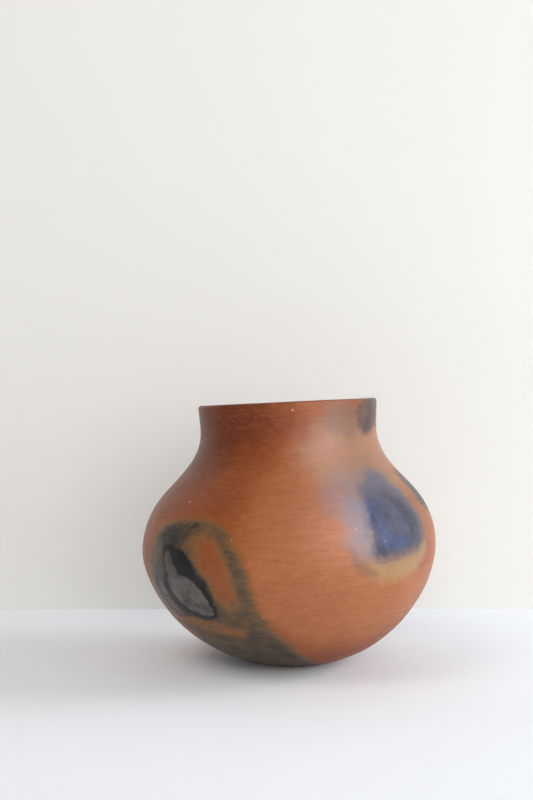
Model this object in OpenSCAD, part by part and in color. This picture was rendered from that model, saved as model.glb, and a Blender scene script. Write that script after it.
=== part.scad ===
// Hand-built olla: a round-bellied earthenware jar with a short neck and an open mouth.
// A base bowl is pressed in a shallow dish, coils are lapped one inside the next to raise the
// wall, and a last thin coil makes the lip. Every joint is a bevelled lap, luted with slip.
// The finished jar leans a little, as the photographed one does, and stands on a small flat
// that its own weight pressed into the round bottom while the clay was soft.

/* [Outline] */
// Height of the lip above the pole of the round bottom, along the jar's own axis
height = 239; // [215:1:270]
// Diameter of the belly at its widest
belly_d = 271; // [240:1:300]
// Height of the widest line of the belly
belly_h = 107.5; // [92:0.5:122]
// Outside diameter at the narrowest line of the neck
neck_d = 162; // [144:0.5:182]
// How far the narrowest line of the neck lies below the lip
neck_below_lip = 23; // [18:0.5:30]
// Outside diameter of the mouth, across the lip
mouth_d = 164.5; // [150:0.5:185]

/* [Fullness of the curves] */
// How far the bottom runs out nearly flat before it turns up
bottom_reach = 98; // [80:1:110]
// How far the lower belly holds upright below its widest line
belly_drop = 29; // [18:0.5:45]
// How far the upper belly holds upright above its widest line
belly_rise = 57; // [35:0.5:62]
// How far the foot of the neck holds upright below its narrowest line
neck_drop = 44; // [28:0.5:50]
// How far the neck holds upright above its narrowest line
neck_rise = 9; // [4:0.5:10]
// How far the lip turns out from upright, in degrees
lip_flare = 3; // [0:0.5:12]

/* [Wall] */
// Thickness of the clay at the middle of the base
base_wall = 8; // [6:0.25:11]
// Thickness of the clay at the belly and shoulder
wall = 6; // [4.5:0.25:8]
// Thickness of the clay at the lip
lip_wall = 5; // [4:0.25:7]

/* [Stance] */
// Diameter of the flat that the round bottom stands on
foot_d = 54; // [40:1:70]
// How far the jar's axis leans to the left from upright, in degrees
lean = 1.6; // [0:0.1:3]

/* [Coils] */
// Run of the pressed base bowl, measured along the outside from the pole
bowl_run = 118; // [95:1:135]
// Run of the lip coil, measured along the outside
lip_run = 11; // [8:0.5:16]
// How far each coil laps down the inside of the one below
lap = 9; // [5:0.5:12]

/* [Colours] */
// Colour of the burnished clay
clay = "#A85F3E"; // ["#A85F3E", "#8F4F33", "#B8704C"]

/* [Hidden] */
$fn = 180;

coil_count = 8;      // coils between the base bowl and the lip coil
facet = 2.4;         // length of one straight step of the outline
steps = 64;          // samples of each curve when its length is measured
lip_step = 7.5;      // degrees between the points of the lip's round top

neck_h = height - neck_below_lip;

// The outline, from the pole of the bottom up to the lip, is three cubic curves in [radius, height].
curves = [
    [[0, 0], [bottom_reach, 0], [belly_d/2, belly_h - belly_drop], [belly_d/2, belly_h]],
    [[belly_d/2, belly_h], [belly_d/2, belly_h + belly_rise],
     [neck_d/2, neck_h - neck_drop], [neck_d/2, neck_h]],
    [[neck_d/2, neck_h], [neck_d/2, neck_h + neck_rise],
     [mouth_d/2 - neck_rise*sin(lip_flare), height - neck_rise*cos(lip_flare)], [mouth_d/2, height]]
];

function bezier(c, t) =
    pow(1 - t, 3)*c[0] + 3*pow(1 - t, 2)*t*c[1] + 3*(1 - t)*t*t*c[2] + t*t*t*c[3];

function bezier_slope(c, t) =
    pow(1 - t, 2)*(c[1] - c[0]) + 2*(1 - t)*t*(c[2] - c[1]) + t*t*(c[3] - c[2]);

// Place and direction on the outline, where u counts the curves: 0.5 is halfway along the first.
function curve_of(u) = min(floor(u), len(curves) - 1);
function outline(u) = bezier(curves[curve_of(u)], u - curve_of(u));
function heading(u) =
    let (d = bezier_slope(curves[curve_of(u)], u - curve_of(u)))
    d/norm(d);

// Running length of the outline at each sample, and the table that turns a length back into u.
samples = [for (i = [0 : len(curves)*steps]) i/steps];
chords = [for (i = [1 : len(samples) - 1]) norm(outline(samples[i]) - outline(samples[i - 1]))];
runs = [for (i = 0, total = 0; i <= len(chords); total = total + (i < len(chords) ? chords[i] : 0),
        i = i + 1) total];
run_table = [for (i = [0 : len(samples) - 1]) [runs[i], samples[i]]];
full_run = runs[len(runs) - 1];
function at_run(s) = lookup(s, run_table);

// The wall thins evenly from the middle of the base to the belly, and again from there to the lip.
belly_run = runs[steps];
function thickness(s) = lookup(s, [[0, base_wall], [belly_run, wall], [full_run, lip_wall]]);

function outer(s) = outline(at_run(s));
function inner(s) =
    let (d = heading(at_run(s)))
    outer(s) + thickness(s)*[-d.y, d.x];

// Joints between the pieces: the base bowl's edge first, the lip coil's lower edge last.
lip_foot = full_run - lip_run;
coil_run = (lip_foot - bowl_run)/coil_count;
function joint(k) = bowl_run + k*coil_run;

// The round bottom sits in a flat of foot_d, so the pole is this far below the ground.
radius_table = [for (i = [0 : steps]) [outline(i/steps).x, outline(i/steps).y]];
foot_sink = lookup(foot_d/2, radius_table);
// Radius of the bottom's curve at the pole. The jar leans about its centre, so the foot stays put.
bottom_radius = 1.5*bottom_reach*bottom_reach/(belly_h - belly_drop);

function spaced(from, to) =
    let (n = max(2, ceil(abs(to - from)/facet)))
    [for (i = [0 : n]) from + (to - from)*i/n];

// Section of the wall between two joints. Its upper and lower edges are both cut on the bevel.
module wall_section(from, to) {
    polygon(concat(
        [for (s = spaced(from, to)) outer(s)],
        [for (s = spaced(to - lap, from - lap)) inner(s)]
    ));
}

// Section of the pressed bowl: from the axis out to the bevelled edge that takes the first coil.
module bowl_section() {
    polygon(concat(
        [for (s = spaced(0, bowl_run)) outer(s)],
        [for (s = spaced(bowl_run - lap, base_wall)) inner(s)],
        [[0, base_wall]]
    ));
}

// Section of the lip coil: a short collar with a round top.
module lip_section() {
    rise = heading(at_run(full_run));
    across = [-rise.y, rise.x];
    middle = outer(full_run) + lip_wall/2*across;
    tilt = atan2(rise.y, rise.x) - 90;
    polygon(concat(
        [for (s = spaced(lip_foot, full_run)) outer(s)],
        [for (a = [lip_step : lip_step : 180 - lip_step]) middle + lip_wall/2*[cos(a + tilt), sin(a + tilt)]],
        [for (s = spaced(full_run, lip_foot - lap)) inner(s)]
    ));
}

// Spins a section about the jar's axis, leans it and stands it on the ground.
module spun() {
    translate([0, 0, bottom_radius - foot_sink])
        rotate([0, -lean, 0])
            translate([0, 0, -bottom_radius])
                rotate_extrude()
                    children();
}

module coil(k) {
    color(clay) spun() wall_section(joint(k), joint(k + 1));
}

module base_bowl() {
    color(clay)
        intersection() {
            spun() bowl_section();
            translate([-belly_d/2, -belly_d/2, 0]) cube([belly_d, belly_d, belly_h]);
        }
}

module belly_coil_low() { coil(0); }
module belly_coil_mid() { coil(1); }
module belly_coil_top() { coil(2); }
module shoulder_coil_low() { coil(3); }
module shoulder_coil_mid() { coil(4); }
module shoulder_coil_top() { coil(5); }
module neck_coil_low() { coil(6); }
module neck_coil_top() { coil(7); }

module lip_coil() {
    color(clay) spun() lip_section();
}

base_bowl();
belly_coil_low();
belly_coil_mid();
belly_coil_top();
shoulder_coil_low();
shoulder_coil_mid();
shoulder_coil_top();
neck_coil_low();
neck_coil_top();
lip_coil();
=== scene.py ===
import math

import bpy
import numpy as np
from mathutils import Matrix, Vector, noise


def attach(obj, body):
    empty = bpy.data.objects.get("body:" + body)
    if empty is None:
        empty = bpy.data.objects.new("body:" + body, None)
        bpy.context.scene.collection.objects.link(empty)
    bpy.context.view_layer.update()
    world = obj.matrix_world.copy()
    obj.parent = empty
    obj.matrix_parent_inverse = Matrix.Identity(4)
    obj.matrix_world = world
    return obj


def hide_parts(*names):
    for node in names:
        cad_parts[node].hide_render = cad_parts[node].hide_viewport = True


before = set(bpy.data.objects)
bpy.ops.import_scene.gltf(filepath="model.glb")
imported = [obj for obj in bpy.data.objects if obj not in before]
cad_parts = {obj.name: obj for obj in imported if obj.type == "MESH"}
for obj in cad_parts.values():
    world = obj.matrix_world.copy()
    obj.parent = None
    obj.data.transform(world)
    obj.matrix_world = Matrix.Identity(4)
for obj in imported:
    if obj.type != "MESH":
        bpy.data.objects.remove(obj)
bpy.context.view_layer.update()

# The wall of the jar: one hand-built shell of red earthenware, raised from coils and scraped by eye.
# Its section is the outline of the photographed jar in millimetres, from the pole of the round
# bottom up to the lip, in [radius, height] along the jar's own axis.
height = 237.0
belly_radius = 134.3
belly_height = 107.0
neck_radius = 80.8
neck_height = 215.0
mouth_radius = 81.9
bottom_reach = 97.7
belly_drop = 29.0
belly_rise = 57.0
neck_drop = 43.8
neck_rise = 9.0
lip_flare = math.radians(3)
base_wall = 8.0
belly_wall = 6.0
lip_wall = 5.0
bowl_run = 118.0
lip_run = 11.0
lap = 9.0
coil_names = ["belly_coil_low", "belly_coil_mid", "belly_coil_top",
              "shoulder_coil_low", "shoulder_coil_mid", "shoulder_coil_top",
              "neck_coil_low", "neck_coil_top"]
curve_steps = 400

curves = np.array([
    [(0, 0), (bottom_reach, 0), (belly_radius, belly_height - belly_drop), (belly_radius, belly_height)],
    [(belly_radius, belly_height), (belly_radius, belly_height + belly_rise),
     (neck_radius, neck_height - neck_drop), (neck_radius, neck_height)],
    [(neck_radius, neck_height), (neck_radius, neck_height + neck_rise),
     (mouth_radius - neck_rise * math.sin(lip_flare), height - neck_rise * math.cos(lip_flare)),
     (mouth_radius, height)],
])
share = np.linspace(0, 1, curve_steps, endpoint=False)[:, None]
stretches = [(1 - share)**3 * start + 3 * (1 - share)**2 * share * start_pull
             + 3 * (1 - share) * share**2 * stop_pull + share**3 * stop
             for start, start_pull, stop_pull, stop in curves]
section = np.concatenate(stretches + [curves[-1][-1:]])
section_run = np.concatenate([[0], np.cumsum(np.linalg.norm(np.diff(section, axis=0), axis=1))])
full_run = section_run[-1]
belly_run = section_run[curve_steps]
lip_foot = full_run - lip_run
coil_run = (lip_foot - bowl_run) / len(coil_names)


def section_at(some_run):
    """Point of the outer section at each running length."""
    return np.stack([np.interp(some_run, section_run, section[:, axis]) for axis in (0, 1)], -1)


def outline(some_run):
    """Point of the outer section and its outward normal at each running length."""
    along = section_at(some_run + 0.5) - section_at(some_run - 0.5)
    along = along / np.linalg.norm(along, axis=-1, keepdims=True)
    return section_at(some_run), np.stack([along[..., 1], -along[..., 0]], -1)


def spaced(start, stop, step):
    """Even steps from start to stop, none longer than step."""
    return np.linspace(start, stop, max(2, math.ceil(abs(stop - start) / step)) + 1)


# Rows run in one line up the outside, over the round lip and down the inside to the middle again.
# Each joint between two coils is a row, so neighbouring pieces share their border exactly.
outer_step = 2.2
inner_step = 4.0
lip_step = 12
joints = [bowl_run + number * coil_run for number in range(len(coil_names) + 1)] + [full_run]
outer_rows = [spaced(0, bowl_run, outer_step)]
outer_rows += [spaced(low, high, outer_step)[1:] for low, high in zip(joints, joints[1:])]
outer_ends = np.cumsum([len(rows) for rows in outer_rows]) - 1
outer_runs = np.concatenate(outer_rows)
inner_joints = [full_run] + [joint - lap for joint in reversed(joints[:-1])] + [0]
inner_rows = [spaced(high, low, inner_step) for high, low in zip(inner_joints, inner_joints[1:])]
inner_rows = [inner_rows[0]] + [rows[1:] for rows in inner_rows[1:]]
inner_ends = np.cumsum([len(rows) for rows in inner_rows]) - 1
inner_runs = np.concatenate(inner_rows)

outer_point, outer_normal = outline(outer_runs)
inner_point, inner_normal = outline(inner_runs)
thickness = np.interp(inner_runs, [0, belly_run, full_run], [base_wall, belly_wall, lip_wall])
inner_point = inner_point - thickness[:, None] * inner_normal
lip_top, lip_out = (found[0] for found in outline(np.array([full_run])))
lip_up = np.array([-lip_out[1], lip_out[0]])
lip_arc = np.radians(np.arange(lip_step, 180, lip_step))[:, None]
lip_normal = np.cos(lip_arc) * lip_out + np.sin(lip_arc) * lip_up
lip_point = lip_top - lip_wall / 2 * lip_out + lip_wall / 2 * lip_normal
radius, axial = np.concatenate([outer_point, lip_point, inner_point]).T
way_out = np.concatenate([outer_normal, lip_normal, -inner_normal])
run = np.concatenate([outer_runs, np.full(len(lip_arc), full_run), inner_runs])
is_inner = np.concatenate([np.zeros(len(outer_runs)), np.linspace(0, 1, len(lip_arc)),
                           np.ones(len(inner_runs))])

# The potter's hand: the soft jar leaned 1.6 degrees to the left, its belly and shoulder sit a little
# off the axis, its rim dips to the left, and scraping left the wall uneven by tenths of a millimetre.
# Turn is the angle round the jar, to the right from the side that faces the camera.
lean = math.radians(1.6)
foot_radius = 27.0
foot_softness = 0.2
sway_heights = [0, 25, 50, 80, 105, 135, 165, 190, 212, 245]
sway_right = [4.0, 2.6, 0.9, 0.1, 0.0, 0.9, 2.1, 2.5, 2.6, 2.3]
# The rim dips more and more from dip_start up. Swells and ridges are in millimetres, and they fade
# over calm_reach below the lip, which was smoothed with a rag.
rim_dip = 0.0185
dip_start = 180.0
dip_reach = 60.0
broad_swell = 0.5
broad_size = 62
fine_swell = 0.28
fine_size = 21
fine_shift = 300
ridge_height = 0.3
calm_reach = 30.0
columns = 360
turn = np.arange(columns) * 2 * math.pi / columns
centre_height = 1.5 * bottom_reach**2 / (belly_height - belly_drop)
foot_sink = np.interp(foot_radius, section[:curve_steps, 0], section[:curve_steps, 1])


def swell(x, y, z, size):
    """Smooth unevenness between about -1 and 1, with hollows and swellings of the given size."""
    places = np.stack([x, y, z], -1).reshape(-1, 3) / size
    return np.array([noise.noise(Vector(place)) for place in places]).reshape(x.shape)


x = radius[:, None] * np.sin(turn)
y = -radius[:, None] * np.cos(turn)
z = np.repeat(axial[:, None], columns, 1)
uneven = broad_swell * swell(x, y, z, broad_size) + fine_swell * swell(x, y, z + fine_shift, fine_size)
ridges = ridge_height * np.cos(2 * math.pi * (run - bowl_run) / coil_run) * is_inner
near_lip = np.clip((full_run + 4 - run) / calm_reach, 0.25, 1)
uneven = (uneven + ridges[:, None]) * near_lip[:, None]
x = x + uneven * way_out[:, :1] * np.sin(turn)
y = y - uneven * way_out[:, :1] * np.cos(turn)
z = z + uneven * way_out[:, 1:]
dip = rim_dip * np.clip((axial - dip_start) / dip_reach, 0, 1.1)[:, None]**2 * x
sway = np.interp(axial, sway_heights, sway_right)[:, None]
above = z - centre_height
right = x * math.cos(lean) - above * math.sin(lean) + sway
up = x * math.sin(lean) + above * math.cos(lean) + centre_height - foot_sink + dip
# The weight of the soft jar pressed its round bottom flat, with a soft turn at the edge.
pressed = 0.5 * (up + np.sqrt(up**2 + foot_softness**2))
up = np.where(is_inner[:, None] > 0, up, pressed)
points = np.stack([right, y, up], -1)

across = np.roll(points, -1, axis=1) - np.roll(points, 1, axis=1)
upward = np.gradient(points, axis=0)
normals = np.cross(across, upward)
normals[0] = (0, 0, -1)
normals[-1] = (0, 0, 1)
normals /= np.linalg.norm(normals, axis=-1, keepdims=True)

# Fire clouds: where fuel lay against the jar in the open fire, smoke went into the clay. Beside them
# stand fields of clay tone and of painted light, shade, sheen and reflection. Each one is an outline
# of a few places, as [turn in degrees, run up the wall in millimetres], or an open stroke, where the
# third number is half its width there.
clouds_and_painted_light = {
    "smoked": [(-66, 190), (-63, 206), (-57, 216), (-50, 222), (-36, 229), (-30, 227), (-23, 213),
               (-18, 198), (-14.5, 178), (-14, 160), (-14, 142), (-5.5, 117), (-16, 100), (-40, 98),
               (-58, 110), (-68, 126), (-72, 148), (-69, 172)],
    "window": [(-38, 206), (-35, 212), (-31, 213), (-27, 206), (-22.5, 186), (-21, 162), (-22, 150),
               (-27, 146), (-29.5, 158), (-33, 178), (-36, 190), (-38, 198)],
    "ring_dark": [(-61, 208), (-56, 218), (-49, 222), (-36, 225), (-33, 221), (-38, 218), (-41, 210),
                  (-47, 197), (-56, 195), (-60, 200)],
    "right_band": [(-31, 220, 2), (-26.5, 213, 3), (-20.5, 192, 3), (-17.5, 162, 3), (-17, 147, 3),
                   (-14, 134, 4)],
    "ring_grey_and_painted_sheen": [(-65, 190), (-62, 206), (-57, 211), (-53, 186), (-54, 177), (-58, 170), (-65.5, 176)],
    "core": [(-54.5, 203), (-48, 204), (-40, 194), (-35.5, 178), (-33, 172), (-32, 153), (-31.5, 144),
             (-34, 137.5), (-40, 136), (-46, 138.5), (-50, 144), (-54.5, 161), (-55, 169), (-53.5, 184),
             (-55, 194)],
    "core_veil": [(-56, 196), (-52, 190), (-50, 160), (-44, 138), (-52, 133), (-59, 131.5), (-64.5, 152),
                  (-65, 165), (-63, 177), (-59, 186)],
    "plate": [(-52.5, 199.5), (-50, 196), (-46.5, 184), (-44.5, 178), (-41, 176.5), (-37.5, 172.5),
              (-34.5, 161), (-32.5, 146), (-34, 141), (-37.5, 139.5), (-42.5, 142), (-49, 150),
              (-52.5, 162), (-53, 169), (-51.5, 185), (-53.5, 193)],
    "sliver": [(-58.5, 172.5), (-57, 165), (-56, 157), (-56.5, 151), (-52, 141.5), (-54, 137),
               (-58, 138.5), (-61.5, 154), (-62, 163), (-61, 170)],
    "streak": [(-62, 134, 2), (-54, 132, 3), (-46, 130, 4), (-38, 127.5, 5), (-31, 124, 5), (-24, 121, 3)],
    "under_streak": [(-64, 127, 2), (-53, 119, 3), (-39, 112, 4), (-32, 110, 4), (-24, 112, 5),
                     (-18, 124, 6)],
    "underside_smoke_and_shade": [(-13, 142), (-10, 131), (-5.5, 117), (0, 100), (8, 78), (22, 54), (75, 30), (150, 30),
                  (-150, 55), (-112, 80), (-88, 96), (-66, 108), (-52, 113), (-40, 110), (-28, 112),
                  (-20, 126)],
    "slate": [(48.5, 274), (54.5, 259), (55.5, 248), (59.5, 231), (60, 211), (59.5, 203), (57, 195.5),
              (51.5, 191.5), (41, 190), (34.5, 187.5), (31.5, 190), (30, 197), (30, 219), (30.5, 244),
              (31, 252), (35, 260), (42, 268)],
    "painted_blue_reflection": [(30.5, 236, 3), (31.5, 224, 4), (33, 210, 5), (38, 203, 5), (44, 202, 4)],
    "navy_left": [(32, 226, 2), (32, 214, 2.5), (32.5, 203, 3.5), (34.5, 193, 4)],
    "navy_right": [(45, 247, 3), (50, 238, 4), (53, 226, 5), (54, 212, 5), (51, 201, 4)],
    "violet": [(19, 264), (30, 269), (41, 271), (35, 260), (30, 250), (29, 237), (23, 231), (16, 236),
               (14.5, 248)],
    "lavender_and_painted_sheen": [(24, 240), (31, 238), (30, 213), (29, 198), (23.5, 201), (22, 217)],
    "halo": [(31, 181, 4), (36, 178.5, 6), (42, 178.5, 7), (49, 181.5, 7), (55, 187, 4), (59, 194, 1)],
    "olive_line": [(21.5, 199, 1), (23, 190.5, 2), (25, 184.5, 2.5), (28, 180, 2.5), (32, 176.5, 1)],
    "rear_right": [(70, 262), (69, 238), (70.5, 228), (74, 221), (84, 213), (97, 213), (106, 226),
                   (108, 246), (98, 262), (82, 271), (73, 268)],
    "back_left": [(-138, 214), (-150, 236), (-166, 240), (-178, 226), (-181, 198), (-168, 172),
                  (-152, 166), (-139, 188)],
    "lip_spot": [(53, 333), (63, 335), (76, 331), (76, 319), (68, 312), (58, 308.5), (51, 313),
                 (47.5, 321), (49.5, 328)],
    "lip_edge": [(56, 337, 3), (66, 335, 5), (76, 331, 6), (88, 331, 6), (102, 335, 3)],
    "lip_veil": [(28, 330), (37, 331), (46, 328), (50, 318), (44, 309), (32, 309), (26, 318)],
    "neck_painted_sheen": [(18, 304), (32, 315), (50, 312), (70, 306), (76, 285), (66, 262), (45, 258), (24, 264),
                   (16, 285)],
    "neck_left_darkening": [(-100, 338), (-26, 338), (-30, 320), (-40, 304), (-70, 294), (-100, 292)],
    "neck_band": [(-75, 318, 6), (-30, 318, 6), (10, 319, 6), (46, 321, 4)],
    "left_shade": [(-112, 330), (-50, 330), (-52, 290), (-62, 262), (-76, 242), (-112, 242)],
    "belly_painted_light": [(-14, 150), (-14, 200), (-9, 235), (-8, 268), (8, 280), (22, 270), (24, 230), (30, 176),
                   (55, 172), (62, 150), (50, 122), (20, 118), (0, 128)],
}
field_reach = 60.0
side_reach = 45
pole_run = 60.0
turn_deg = np.degrees(turn)
turn_deg = np.where(turn_deg > 180, turn_deg - 360, turn_deg)


def rounded(places, closed):
    """Cuts the corners of an outline twice, which leaves a smooth curve."""
    curve = np.array(places, float)
    for _ in range(2):
        ahead = np.roll(curve, -1, axis=0) if closed else curve[1:]
        here = curve if closed else curve[:-1]
        cut = np.stack([0.75 * here + 0.25 * ahead, 0.25 * here + 0.75 * ahead], 1)
        cut = cut.reshape(-1, curve.shape[1])
        curve = cut if closed else np.concatenate([curve[:1], cut, curve[-1:]])
    return curve


def distance(places):
    """Distance of every point of the jar to an outline in millimetres, negative inside it. It is
    measured on a map of the wall near each point, or round the pole on a flat map of the bottom."""
    closed = len(places[0]) == 2
    curve = rounded(places, closed)
    if closed:
        curve = np.concatenate([curve, curve[:1]])
    low = curve[:, 1].min()
    high = curve[:, 1].max()
    apart = (curve[:, 0] - turn_deg[:, None] + 180) % 360 - 180
    rows = np.flatnonzero((run > low - field_reach) & (run < high + field_reach) & (is_inner < 1))
    here = run[rows][:, None, None]
    if low < pole_run:
        near = np.arange(columns)
        bearing = np.radians(curve[:, 0])
        east = curve[:, 1] * np.sin(bearing) - here * np.sin(turn)[:, None]
        north = here * np.cos(turn)[:, None] - curve[:, 1] * np.cos(bearing)
    else:
        near = np.flatnonzero(np.abs(apart).min(1) < side_reach)
        wall_radius = np.interp(curve[:, 1], section_run, section[:, 0])
        east = np.broadcast_to(np.radians(apart[near]) * wall_radius, (len(rows), len(near), len(curve)))
        north = np.broadcast_to(curve[:, 1] - here, east.shape)
    start = np.stack([east[..., :-1], north[..., :-1]], -1)
    stop = np.stack([east[..., 1:], north[..., 1:]], -1)
    side = stop - start
    part = np.clip(-(start * side).sum(-1) / np.maximum((side**2).sum(-1), 1e-9), 0, 1)
    gap = np.linalg.norm(start + part[..., None] * side, axis=-1)
    if closed:
        crossed = start[..., 0] * stop[..., 1] - start[..., 1] * stop[..., 0]
        swept = np.arctan2(crossed, (start * stop).sum(-1)).sum(-1)
        gap = gap.min(-1) * np.where(np.abs(swept) > math.pi, -1, 1)
    else:
        half_width = curve[:-1, 2] + part * np.diff(curve[:, 2])
        gap = (gap - half_width).min(-1)
    field = np.full(points.shape[:2], field_reach)
    field[np.ix_(rows, near)] = np.minimum(gap, field_reach)
    return field


# Every point of the jar keeps its run up the wall and its distance to each outline, and the materials
# turn these into level strokes and ragged or soft edges.
fields = {name: distance(places) for name, places in clouds_and_painted_light.items()}
fields["run"] = np.repeat(run[:, None], columns, 1)

# Outside: red earthenware burnished with a smooth stone before firing. The stone leaves level strokes
# that shine, and the fire clouds run from olive brown to black, with a blue-grey one where the smoke
# lay thin, whose blue is partly a painted reflection of blue sky. Painted light, shade and sheen are
# mixed into the colour as well. The fine strokes are drawn coarser than the real ones, which are too
# fine to show.


def linear(colour):
    """An sRGB hex colour as the linear RGBA that Blender works in."""
    parts = [int(colour[place:place + 2], 16) / 255 for place in (1, 3, 5)]
    return tuple(part / 12.92 if part <= 0.04045 else ((part + 0.055) / 1.055) ** 2.4
                 for part in parts) + (1.0,)


def start_material(name):
    """A new material and its empty node tree."""
    made = bpy.data.materials.new(name)
    made.use_nodes = True
    made.node_tree.nodes.clear()
    return made, made.node_tree


def add(tree, kind, sockets=None, out=0, **settings):
    """Adds one shader node, sets or links its sockets, and gives back one of its outputs."""
    made = tree.nodes.new("ShaderNode" + kind)
    for name, value in settings.items():
        setattr(made, name, value)
    for name, value in (sockets or {}).items():
        if isinstance(value, bpy.types.NodeSocket):
            tree.links.new(value, made.inputs[name])
        else:
            made.inputs[name].default_value = value
    return made.outputs[out] if made.outputs else None


def wall_coordinates(squeeze):
    """The place on the jar, the run up its wall in millimetres, and a place for level strokes,
    which has the run times squeeze for its height."""
    body_place = add(tree, "TexCoord", out=3)
    run_up = add(tree, "Attribute", out=2, attribute_name="run")
    sideways = add(tree, "SeparateXYZ", {0: body_place})
    squeezed = add(tree, "Math", {0: run_up, 1: 0.001 * squeeze}, operation="MULTIPLY")
    stroke_place = add(tree, "CombineXYZ", {0: sideways, 1: sideways.node.outputs[1], 2: squeezed})
    return body_place, run_up, stroke_place


def noise_at(where, size_mm, detail=3.0, rough=0.55, shift=(0, 0, 0)):
    """Noise about a half, with features of a real size in millimetres."""
    moved = add(tree, "VectorMath", {0: where, 1: shift}, operation="ADD")
    return add(tree, "TexNoise", {"Vector": moved, "Scale": 1000 / size_mm, "Detail": detail,
                                  "Roughness": rough})


def ranged(value, low, high, to_low=0.0, to_high=1.0, smooth=True):
    """value from low to high, made to run between to_low and to_high."""
    sockets = {"Value": value, "From Min": low, "From Max": high, "To Min": to_low, "To Max": to_high}
    return add(tree, "MapRange", sockets, interpolation_type="SMOOTHSTEP" if smooth else "LINEAR")


def centred(value):
    """Noise about a half, made to run from -1 to 1."""
    return ranged(value, 0.25, 0.75, -1.0, 1.0, smooth=False)


def mixed(one, share, other):
    """One colour turned to the other by the given share."""
    return add(tree, "Mix", {0: share, 6: one, 7: other}, out=2, data_type="RGBA")


def tinted(colour, share, tint):
    """The colour turned to an sRGB tint by the given share."""
    return mixed(colour, share, linear(tint))


def joined(operation, *values):
    """All the values put together by one kind of arithmetic."""
    total = values[0]
    for value in values[1:]:
        total = add(tree, "Math", {0: total, 1: value}, operation=operation)
    return total


def outlined_share(name, outside, inside, strength=1.0, teeth_mm=0.0, blots_mm=0.0, chips_mm=0.0):
    """Share of one outline, whatever it marks: none from outside millimetres past the outline, and full
    from inside millimetres within it. Teeth, blots and chips move the outline in and out by noise."""
    gap = add(tree, "Attribute", out=2, attribute_name=name)
    for raggedness, reach_mm in [(teeth, teeth_mm), (blots, blots_mm), (chips, chips_mm)]:
        if reach_mm:
            gap = add(tree, "Math", {0: raggedness, 1: reach_mm, 2: gap}, operation="MULTIPLY_ADD")
    return ranged(gap, outside, -inside, 0.0, strength)


burnished, tree = start_material("stone-burnished red earthenware")
body_place, run_up, stroke_place = wall_coordinates(9)
strokes = noise_at(stroke_place, 26, detail=4, rough=0.7)
fine_strokes = noise_at(stroke_place, 13, rough=0.7, shift=(0.4, 0.1, 0.7))
teeth = centred(noise_at(stroke_place, 30, detail=5, rough=0.7, shift=(0.9, 0, 0.3)))
blots = centred(noise_at(body_place, 13, detail=5, rough=0.65))
chips = centred(noise_at(body_place, 6, rough=0.6, shift=(0.2, 0.6, 0.1)))
grain = noise_at(body_place, 5, rough=0.7)
warm = noise_at(body_place, 85, detail=2, rough=0.5, shift=(0.31, 0.2, 0.1))
dull = noise_at(body_place, 34, shift=(0.7, 0.5, 0.2))

# Fired clay, before any smoke: red brown, darker and redder round the neck and most on its left,
# with a painted pool of light on the belly, painted shade down the left side and a painted sheen on
# the right of the neck.
clay_with_painted_light = mixed(linear("#8A441D"), ranged(warm, 0.3, 0.7), linear("#955125"))
clay_with_painted_light = tinted(clay_with_painted_light, ranged(dull, 0.35, 0.75, 0, 0.5), "#763B1C")
# Painted light: a pool of light on the belly.
clay_with_painted_light = tinted(clay_with_painted_light, outlined_share("belly_painted_light", 34, 4, 0.6, blots_mm=8), "#AC6D45")
clay_with_painted_light = tinted(clay_with_painted_light, outlined_share("left_shade", 40, 4, 0.42, blots_mm=8), "#562813")
clay_with_painted_light = tinted(clay_with_painted_light, outlined_share("neck_band", 20, 6, 0.42, blots_mm=8), "#742E0F")
# Darker and redder round the left of the neck.
clay_with_painted_light = tinted(clay_with_painted_light, outlined_share("neck_left_darkening", 50, 0, 0.8, blots_mm=8), "#5A230C")
clay_with_painted_light = tinted(clay_with_painted_light, outlined_share("window", 8, 4, 0.7, teeth_mm=1, blots_mm=4), "#824A25")
clay_with_painted_light = tinted(clay_with_painted_light, ranged(strokes, 0.35, 0.72, 0, 0.3), "#693419")
clay_with_painted_light = tinted(clay_with_painted_light, ranged(fine_strokes, 0.5, 0.75, 0, 0.3), "#AF6E42")
clay_with_painted_light = tinted(clay_with_painted_light, ranged(grain, 0.5, 0.78, 0, 0.24), "#5C3017")
clay_with_painted_light = tinted(clay_with_painted_light, ranged(grain, 0.5, 0.25, 0, 0.1), "#C08A62")
# Painted sheen on the right of the neck.
clay_with_painted_light = tinted(clay_with_painted_light, outlined_share("neck_painted_sheen", 30, 2, 0.34, blots_mm=8), "#9C8872")

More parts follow.
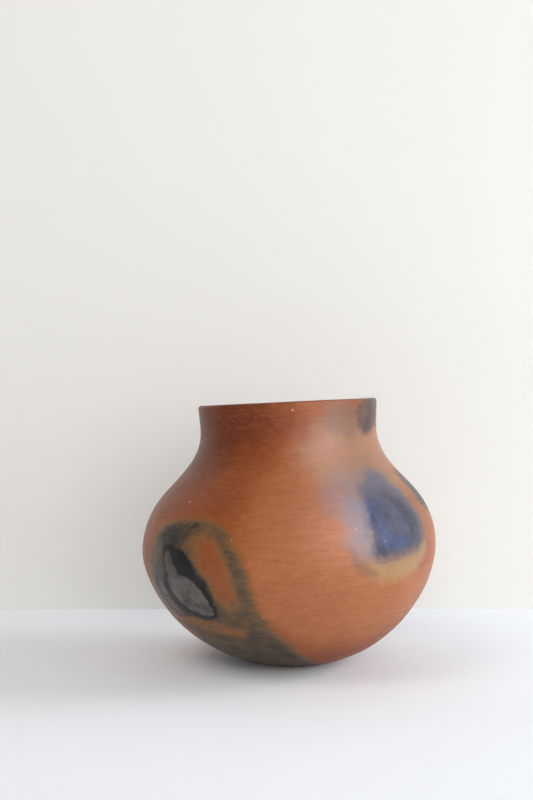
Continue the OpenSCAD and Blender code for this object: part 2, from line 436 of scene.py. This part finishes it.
# Smoke of the left cloud, the bottom and the back: a ring with a clear window in it and a black
# core, and a clear streak below. The dark bottom is partly smoke and partly painted shade under the
# jar. How much smoke and painted shade went in sets the colour, from olive to black.
smoke_and_shade = joined("MAXIMUM", outlined_share("smoked", 5, 8, 0.56, teeth_mm=4, blots_mm=3, chips_mm=1.5),
               outlined_share("ring_dark", 7, 4, 0.76, teeth_mm=2, blots_mm=4, chips_mm=2))
window_share = outlined_share("window", 8, 8, 0.86, teeth_mm=1.5, blots_mm=5, chips_mm=2.5)
smoke_and_shade = joined("MULTIPLY", smoke_and_shade, joined("SUBTRACT", 1.0, window_share))
smoke_and_shade = joined("MAXIMUM", smoke_and_shade,
               outlined_share("right_band", 8, 2, 0.54, teeth_mm=5, blots_mm=4, chips_mm=2),
               outlined_share("core", 9, 2.4, 1.0, teeth_mm=0.8, blots_mm=1.2, chips_mm=1.4),
               outlined_share("core_veil", 2.5, 1.5, 0.96, blots_mm=1.2, chips_mm=2.4),
               outlined_share("under_streak", 6, 3, 0.62, teeth_mm=2, blots_mm=3),
               # The dark bottom: partly smoke, partly painted shade under the jar.
               outlined_share("underside_smoke_and_shade", 7, 10, 0.64, teeth_mm=3.5, blots_mm=2.5),
               outlined_share("back_left", 14, 20, 0.92, teeth_mm=2.5, blots_mm=5),
               outlined_share("rear_right", 9, 12, 0.88, teeth_mm=3, blots_mm=6))
streak_share = outlined_share("streak", 7, 5, 0.55, teeth_mm=1.5, blots_mm=3)
smoke_and_shade = joined("MULTIPLY", smoke_and_shade, joined("SUBTRACT", 1.0, streak_share),
               ranged(dull, 0.3, 0.7, 0.88, 1.1))
patchy = joined("ADD", ranged(blots, -0.6, 0.8, -0.06, 0.12), ranged(strokes, 0.3, 0.7, -0.06, 0.06))
patchy = joined("MULTIPLY", patchy, ranged(smoke_and_shade, 0.03, 0.2), ranged(smoke_and_shade, 1.0, 0.75))
smoke_and_shade = add(tree, "Math", {0: smoke_and_shade, 1: patchy}, operation="ADD", use_clamp=True)
smoke_and_shade_colour = add(tree, "ValToRGB", {0: smoke_and_shade})
stops = smoke_and_shade_colour.node.color_ramp.elements
stops[0].color = linear("#8A441D")
stops[1].color = linear("#0C0A09")
for position, shade in [(0.22, "#84532C"), (0.42, "#6C4F33"), (0.62, "#504030"), (0.82, "#2E2721")]:
    stops.new(position).color = linear(shade)
colour = mixed(clay_with_painted_light, ranged(smoke_and_shade, 0.0, 0.25, smooth=False), smoke_and_shade_colour)
# Grey at the left of the ring: partly the clay's own colour, partly a painted sheen where the wall turns
# away.
colour = tinted(colour, outlined_share("ring_grey_and_painted_sheen", 6, 5, 0.55, teeth_mm=1, blots_mm=2), "#5C5147")

# Dark spot on the lip, with upright streaks in it, a faint veil beside it and the smoked lip edge.
shorter = add(tree, "VectorMath", {0: body_place, 1: (1, 1, 0.4)}, operation="MULTIPLY")
upright = noise_at(shorter, 9, detail=4)
colour = tinted(colour, outlined_share("lip_veil", 15, 4, 0.46, blots_mm=6, chips_mm=2), "#5F4A40")
spot = mixed(linear("#24222A"), ranged(upright, 0.4, 0.65), linear("#523E33"))
spot = tinted(spot, ranged(run_up, 322, 312, 0, 0.6), "#1B1B22")
colour = mixed(colour, outlined_share("lip_spot", 8, 4, 0.86, blots_mm=4.5, chips_mm=3), spot)
colour = tinted(colour, outlined_share("lip_edge", 5, 3, 0.8, blots_mm=2.5), "#4A3C36")

# The blue-grey cloud on the right: a dull veil round it, a buff halo and a brown line below it, a
# violet haze and a lavender bloom at its left, the bloom partly a painted sheen, and its own mottled
# blues, lighter towards the top and partly a painted reflection of blue sky, brightest down its left
# side and along its foot, with navy along both sides. The cloud behind it, at the right edge, is a
# colder grey.
colour = tinted(colour, outlined_share("slate", 22, 2, 0.5, teeth_mm=2, blots_mm=6, chips_mm=2), "#75644F")
colour = tinted(colour, outlined_share("halo", 10, 3, 0.44, teeth_mm=1, blots_mm=3, chips_mm=1), "#A38A60")
colour = tinted(colour, outlined_share("olive_line", 5, 1.5, 0.5, blots_mm=2), "#6A4A36")
violet_share = joined("MULTIPLY", outlined_share("violet", 16, 4, 0.62, teeth_mm=2.5, blots_mm=6),
                      ranged(strokes, 0.3, 0.62, 0.45, 1.0))
colour = tinted(colour, violet_share, "#77676C")
# Lavender bloom: partly its own colour, partly a painted sheen.
colour = tinted(colour, outlined_share("lavender_and_painted_sheen", 17, 3, 0.54, teeth_mm=2, blots_mm=5), "#6F7483")
slate_share = joined("MULTIPLY", outlined_share("slate", 7.5, 6, 0.97, teeth_mm=2.5, blots_mm=4, chips_mm=2.6),
                     ranged(run_up, 226, 272, 1.0, 0.78))
blue = mixed(linear("#353D58"), ranged(blots, -0.6, 0.6), linear("#464757"))
blue = tinted(blue, ranged(dull, 0.48, 0.72, 0, 0.6), "#4C4443")
# Painted reflection of blue sky, brightest down the left side and along the foot of the cloud.
blue = tinted(blue, outlined_share("painted_blue_reflection", 8, 3, 0.6, teeth_mm=1.5, blots_mm=6, chips_mm=3), "#2E4370")
blue = tinted(blue, outlined_share("navy_left", 5, 2, 0.75, teeth_mm=1, blots_mm=4, chips_mm=3), "#1C2132")
blue = tinted(blue, outlined_share("navy_right", 9, 3, 0.62, teeth_mm=1.5, blots_mm=6, chips_mm=3), "#24272D")
blue = tinted(blue, ranged(chips, 0.05, 0.8, 0, 0.4), "#1E2230")
blue = tinted(blue, ranged(chips, -0.1, -0.8, 0, 0.3), "#605B5E")
blue = tinted(blue, ranged(run_up, 232, 268, 0, 0.55), "#585D72")
colour = mixed(colour, slate_share, blue)
colour = tinted(colour, outlined_share("rear_right", 3, 12, 0.66, teeth_mm=3, blots_mm=6), "#232A30")

# Grey plate and sliver in the black core: bare clay with a sharp edge, where the soot burned off.
plate_share = joined("MAXIMUM", outlined_share("plate", 1, 1.2, chips_mm=1.8),
                     outlined_share("sliver", 1.2, 0.8, 0.95, chips_mm=1.4))
plate_colour = mixed(linear("#443F3C"), ranged(blots, -0.7, 0.7), linear("#665F5B"))
plate_colour = tinted(plate_colour, ranged(run_up, 165, 200, 0, 0.6), "#34302D")
plate_colour = tinted(plate_colour, ranged(chips, 0.0, 0.7, 0, 0.5), "#2E2A28")
colour = mixed(colour, plate_share, plate_colour)

# Pale specks: fine grit all over, and a few chips as [turn, run, size in millimetres, strength].
marks = [(1.5, 330, 1.2, 0.5), (-48.5, 241.5, 1.3, 0.5), (-36, 200, 0.9, 0.15), (-22, 211, 0.9, 0.3),
         (-12, 142.5, 1.2, 0.25), (-9.5, 180, 0.9, 0.12), (-5.5, 171, 1.0, 0.12), (24, 216, 1.1, 0.25),
         (35.5, 203, 0.9, 0.3)]
speck_spacing_mm = 17
specks = add(tree, "TexVoronoi", {"Vector": body_place, "Scale": 1000 / speck_spacing_mm})
colour = tinted(colour, ranged(specks, 0.055, 0.02, 0, 0.35), "#C7A48C")
chip_core = 0.3
chip_edge = 1.1
for mark_turn, mark_run, size, strength in marks:
    size_m = size / 1000
    row = np.abs(outer_runs - mark_run).argmin()
    middle = Vector(points[row, round(mark_turn) % columns] / 1000)
    gap = add(tree, "VectorMath", {0: body_place, 1: middle}, out=1, operation="DISTANCE")
    colour = tinted(colour, ranged(gap, chip_edge * size_m, chip_core * size_m, 0, strength), "#D8C3B2")

# Sheen of the burnish: strokes round the jar draw each highlight out upright, and smoked clay
# shines a little more.
dark_share = joined("MAXIMUM", smoke_and_shade, slate_share)
rough = joined("ADD", ranged(strokes, 0.25, 0.75, 0.42, 0.52, smooth=False),
               ranged(fine_strokes, 0.3, 0.7, -0.04, 0.04, smooth=False))
rough = add(tree, "Math", {0: dark_share, 1: -0.05, 2: rough}, operation="MULTIPLY_ADD")
relief = joined("ADD", joined("MULTIPLY", fine_strokes, 0.5), joined("MULTIPLY", strokes, 0.8),
                joined("MULTIPLY", grain, 0.18))
bumped = add(tree, "Bump", {"Height": relief, "Strength": 0.35, "Distance": 0.0003})
round_about = add(tree, "Tangent", direction_type="RADIAL", axis="Z")
surface = add(tree, "BsdfPrincipled", {"Base Color": colour, "Roughness": rough, "Normal": bumped,
                                       "IOR": 1.4, "Anisotropic": 0.6, "Anisotropic Rotation": 0.25,
                                       "Tangent": round_about})
add(tree, "OutputMaterial", {"Surface": surface})

# Inside: the same clay, wiped smooth with a wet hand but never burnished, so it is paler, matt and
# finely lined, and smoked a little below the lip.
wiped, tree = start_material("wiped red earthenware")
body_place, run_up, stroke_place = wall_coordinates(8)
wipes = noise_at(stroke_place, 20, detail=4, rough=0.65)
grit = noise_at(body_place, 1.8, detail=2)
colour = mixed(linear("#8E5036"), ranged(noise_at(body_place, 60), 0.35, 0.7), linear("#A1613F"))
colour = tinted(colour, ranged(wipes, 0.3, 0.75, 0, 0.5), "#774430")
colour = tinted(colour, ranged(run_up, 190, 330, 0, 0.35), "#5B3A2B")
colour = tinted(colour, ranged(grit, 0.55, 0.8, 0, 0.4), "#B98561")
relief = joined("ADD", wipes, joined("MULTIPLY", grit, 0.35))
bumped = add(tree, "Bump", {"Height": relief, "Strength": 0.6, "Distance": 0.0005})
surface = add(tree, "BsdfPrincipled", {"Base Color": colour, "Roughness": 0.72, "Normal": bumped,
                                       "IOR": 1.5})
add(tree, "OutputMaterial", {"Surface": surface})

# Base bowl: pressed as a pancake of clay into a shallow dish, then scraped round. It stands on the
# flat that its own weight gave it, and its edge is bevelled to take the first coil.
inner_start = len(outer_runs) + len(lip_arc)
inner_borders = [inner_start + end for end in inner_ends]
burnished_face = 0
wiped_face = 1
lap_face = 2


def build(name, node, strips):
    """One closed piece of the wall from strips of rows, joined end to end by the bevelled laps.
    A strip that starts or ends at the pole closes there on a single point."""
    rows = np.concatenate([np.arange(first, last + 1) for first, last in strips])
    has_pole = strips[0][0] == 0
    if has_pole:
        rows = rows[1:-1]
    count = len(rows)
    places = points[rows].reshape(-1, 3) / 1000
    smooth_normals = normals[rows].reshape(-1, 3)
    outer_count = strips[0][1] - strips[0][0] + (0 if has_pole else 1)
    column = np.arange(columns)
    beside = (column + 1) % columns
    polygons = []
    kinds = []
    for low in range(count - 1 if has_pole else count):
        high = (low + 1) % count
        polygons += np.stack([low * columns + column, low * columns + beside,
                              high * columns + beside, high * columns + column], 1).tolist()
        if high == 0 or (low == outer_count - 1 and len(strips) > 1):
            kinds += [lap_face] * columns
        else:
            kinds += [wiped_face if is_inner[rows[low]] > 0.5 else burnished_face] * columns
    if has_pole:
        outer_pole = len(places)
        inner_pole = outer_pole + 1
        places = np.concatenate([places, [points[0].mean(0) / 1000, points[-1].mean(0) / 1000]])
        smooth_normals = np.concatenate([smooth_normals, [(0, 0, -1), (0, 0, 1)]])
        top = (count - 1) * columns
        polygons += np.stack([np.full(columns, outer_pole), beside, column], 1).tolist()
        polygons += np.stack([top + column, top + beside, np.full(columns, inner_pole)], 1).tolist()
        kinds += [burnished_face] * columns + [wiped_face] * columns
    kinds = np.array(kinds, np.int32)
    mesh = bpy.data.meshes.new(name)
    mesh.from_pydata(places.tolist(), [], polygons)
    mesh.materials.append(burnished)
    mesh.materials.append(wiped)
    mesh.polygons.foreach_set("material_index", np.minimum(kinds, wiped_face))
    mesh.polygons.foreach_set("use_smooth", kinds < lap_face)
    for key, field in fields.items():
        values = field[rows].ravel()
        if has_pole:
            values = np.concatenate([values, [field[0, 0], field[-1, 0]]])
        layer = mesh.attributes.new(key, "FLOAT", "POINT")
        layer.data.foreach_set("value", values.astype(np.float32))
    corners = np.zeros(len(mesh.loops), np.int32)
    mesh.loops.foreach_get("vertex_index", corners)
    sides = [len(polygon) for polygon in polygons]
    is_smooth = np.repeat(kinds, sides)[:, None] < lap_face
    face_normals = np.repeat([polygon.normal for polygon in mesh.polygons], sides, axis=0)
    given = np.where(is_smooth, smooth_normals[corners], face_normals)
    mesh.normals_split_custom_set(given.tolist())
    piece = bpy.data.objects.new(name, mesh)
    bpy.context.scene.collection.objects.link(piece)
    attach(piece, "root")
    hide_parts(node)


build("olla_base_bowl", "base_bowl", [(0, outer_ends[0]), (inner_borders[-2], len(run) - 1)])

# Coils: eight ropes of clay, each flattened and lapped down the inside of the one below, then
# scraped and burnished until the joints don't show outside. Inside they leave faint ridges.
for number, coil_name in enumerate(coil_names):
    outer_strip = (outer_ends[number], outer_ends[number + 1])
    inner_strip = (inner_borders[-3 - number], inner_borders[-2 - number])
    build("olla_" + coil_name, coil_name, [outer_strip, inner_strip])

# Lip coil: a last thin coil of the same clay, luted on, turned out a little and rounded with a wet
# rag. Its rows run on over the lip, so it is one strip from its outer edge to its inner one.
build("olla_lip_coil", "lip_coil", [(outer_ends[-2], inner_borders[0])])

# Floor and backdrop: plain boards in pale matt paint. They are clear from behind, so that neither
# stands between the jar and a camera there, and fade out well away from the jar.
wall_distance = 0.252
board_reach = 4
fade_start = 1.3
fade_end = 3.2


def stage_piece(name, corners, paint_name, paint_colour):
    """A flat painted surface that is clear from behind and far from the jar."""
    paint, tree = start_material(paint_name)
    matt = add(tree, "BsdfDiffuse", {"Color": linear(paint_colour)})
    clear = add(tree, "BsdfTransparent")
    away = add(tree, "VectorMath", {0: add(tree, "TexCoord", out=3)}, out=1, operation="LENGTH")
    faded = add(tree, "MapRange", {"Value": away, "From Min": fade_start, "From Max": fade_end},
                interpolation_type="SMOOTHSTEP")
    from_behind = add(tree, "NewGeometry", out=6)
    unseen = add(tree, "Math", {0: faded, 1: from_behind}, operation="MAXIMUM")
    add(tree, "OutputMaterial", {"Surface": add(tree, "MixShader", {0: unseen, 1: matt, 2: clear})})
    mesh = bpy.data.meshes.new(name)
    mesh.from_pydata(corners, [], [(0, 1, 2, 3)])
    mesh.materials.append(paint)
    piece = bpy.data.objects.new(name, mesh)
    bpy.context.scene.collection.objects.link(piece)
    return piece


floor_corners = [(-board_reach, -board_reach, 0), (board_reach, -board_reach, 0),
                 (board_reach, board_reach, 0), (-board_reach, board_reach, 0)]
wall_corners = [(-board_reach, wall_distance, 0), (board_reach, wall_distance, 0),
                (board_reach, wall_distance, board_reach), (-board_reach, wall_distance, board_reach)]
stage_piece("floor", floor_corners, "matt pale paint", "#EEF1F5")
backdrop = stage_piece("backdrop", wall_corners, "matt pale wall paint", "#E3E2DE")
backdrop.visible_shadow = False

# Surround: an even pale ground behind everything, like a studio's paper. Only the camera sees it, so
# it neither lights the jar nor shows in its sheen.
glow, tree = start_material("pale surround")
add(tree, "OutputMaterial", {"Surface": add(tree, "Emission", {"Color": linear("#DCDDDF")})})
bpy.ops.mesh.primitive_uv_sphere_add(segments=48, ring_count=24, radius=12)
surround = bpy.context.object
surround.name = "surround"
surround.data.materials.append(glow)
surround.visible_diffuse = False
surround.visible_glossy = False
surround.visible_transmission = False
surround.visible_shadow = False

# Light: a window at the right front, a cooler one far round to the right, the pale room in front and
# all round, and a weak lamp high on the left. Of the lamps only the window lights everything: the two
# panes shine just in the burnish, and the others just on matt colour.
world = bpy.data.worlds.new("pale room")
bpy.context.scene.world = world
world.use_nodes = True
sky = world.node_tree.nodes["Background"]
sky.inputs["Color"].default_value = linear("#FFFFFF")
sky.inputs["Strength"].default_value = 0.16
jar_middle = Vector((0, 0, 0.12))


def softbox(name, turn_from_camera, elevation, reach, size, watts, colour, in_sheen=True, on_clay=True):
    """A rectangular area light that looks at the middle of the jar. Turn and elevation are in
    degrees, and reach and size in metres."""
    light = bpy.data.lights.new(name, "AREA")
    light.shape = "RECTANGLE"
    light.size = size[0]
    light.size_y = size[1]
    light.energy = watts
    light.color = linear(colour)[:3]
    lamp = bpy.data.objects.new(name, light)
    sideways = math.radians(turn_from_camera)
    upwards = math.radians(elevation)
    away = Vector((math.sin(sideways) * math.cos(upwards), -math.cos(sideways) * math.cos(upwards),
                   math.sin(upwards)))
    lamp.location = jar_middle + away * reach
    lamp.rotation_euler = (-away).to_track_quat("-Z", "Y").to_euler()
    lamp.visible_camera = False
    lamp.visible_glossy = in_sheen
    lamp.visible_diffuse = on_clay
    bpy.context.scene.collection.objects.link(lamp)


softbox("window", 58, 14, 2.6, (1.6, 1.6), 19, "#FAFCFC")
softbox("far window", 95, 14, 1.9, (0.9, 1.4), 37, "#E6F1FA", in_sheen=False)
softbox("room in front", 10, 14, 2.2, (1.6, 1.2), 25, "#FFFDFB", in_sheen=False)
softbox("lamp on the left", -50, 50, 2.2, (1.2, 1.2), 12, "#FFF6F0", in_sheen=False)
softbox("pane seen in the burnish", 45, 20, 1.8, (1.6, 0.9), 30, "#EEF2FF", on_clay=False)
softbox("high pane seen in the burnish", 42, 55, 1.8, (1.6, 0.9), 16, "#F0F0FC", on_clay=False)

# Camera: level, at the height of the lip, a little over a metre away, as the photograph was taken.
camera_data = bpy.data.cameras.new("camera")
camera_data.lens = 51.0
camera_data.sensor_width = 36.0
camera = bpy.data.objects.new("camera", camera_data)
camera.location = (-0.0183, -1.0448, 0.2392)
camera.rotation_euler = (math.radians(90), 0, 0)
bpy.context.scene.collection.objects.link(camera)
bpy.context.scene.camera = camera
bpy.context.scene.view_settings.view_transform = "Standard"
